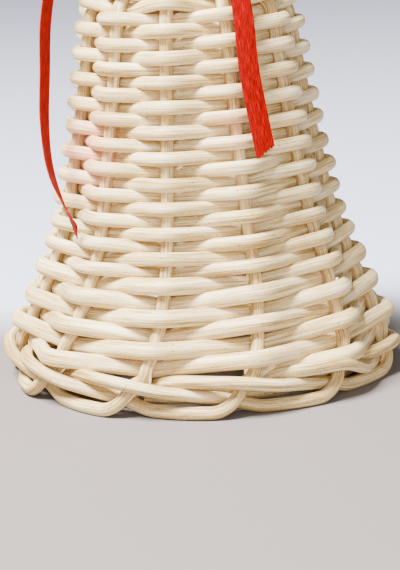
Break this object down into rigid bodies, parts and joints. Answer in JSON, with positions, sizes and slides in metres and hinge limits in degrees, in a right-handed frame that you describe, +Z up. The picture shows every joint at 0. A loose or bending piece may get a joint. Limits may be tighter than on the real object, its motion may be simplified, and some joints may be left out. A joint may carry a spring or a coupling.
{
  "type": "woven rattan bell ornament",
  "caption": "Bell-shaped ornament woven from peeled rattan cane, hollow and open below, with a rolled rod rim and a red ribbon bow on its crown.",
  "frame": {"origin": "centre of the rim's underside, on the bell's axis, at the level the bell stands on", "axes": "+Z up along the bell's axis, -Y to the front, where the ribbon tails hang, +X to the right seen from the front"},
  "size_m": [0.0984, 0.0986, 0.1225],
  "materials": {
    "stake_cane": "satin",
    "weaver_cane": "satin",
    "ring_cane": "satin",
    "red_satin": "satin"
  },
  "bodies": {
    "root": {"weaver_crown": "weaver_cane", "weaver_waist": "weaver_cane", "weaver_skirt": "weaver_cane", "stake_rod_1": "stake_cane", "stake_rod_2": "stake_cane", "stake_rod_3": "stake_cane", "stake_rod_4": "stake_cane", "stake_rod_5": "stake_cane", "stake_rod_6": "stake_cane", "hanging_ring": "ring_cane", "ribbon_bow": "red_satin", "ribbon_tail_left": "red_satin", "ribbon_tail_right": "red_satin"}
  },
  "joints": []
}
